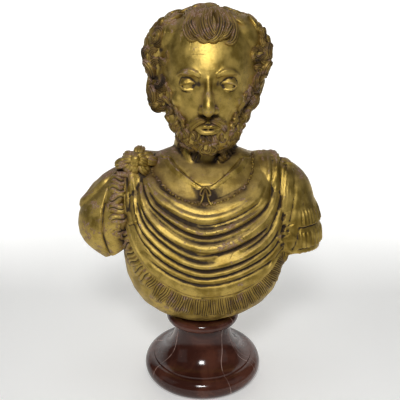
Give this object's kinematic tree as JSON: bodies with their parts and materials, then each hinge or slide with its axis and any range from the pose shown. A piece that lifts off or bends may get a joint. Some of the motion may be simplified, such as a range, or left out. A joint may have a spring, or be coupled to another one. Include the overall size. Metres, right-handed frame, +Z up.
{
  "type": "portrait bust on a socle",
  "caption": "Life-size gilt bust of a bearded, curly-haired man in a Roman cloak with fringed edge, on a turned red marble socle.",
  "frame": {"origin": "centre of the socle's underside", "axes": "+Z up along the socle's turned axis, -Y the way the figure faces, +X to the figure's left"},
  "size_m": [0.4598, 0.247, 0.7114],
  "materials": {
    "gilding": "worn gilding over carved wood, dark in the hollows, red ground showing on the high points",
    "red_marble": "polished dark red marble with thin pale veins"
  },
  "bodies": {
    "root": {"bust": "gilding", "socle": "red_marble"}
  },
  "joints": []
}
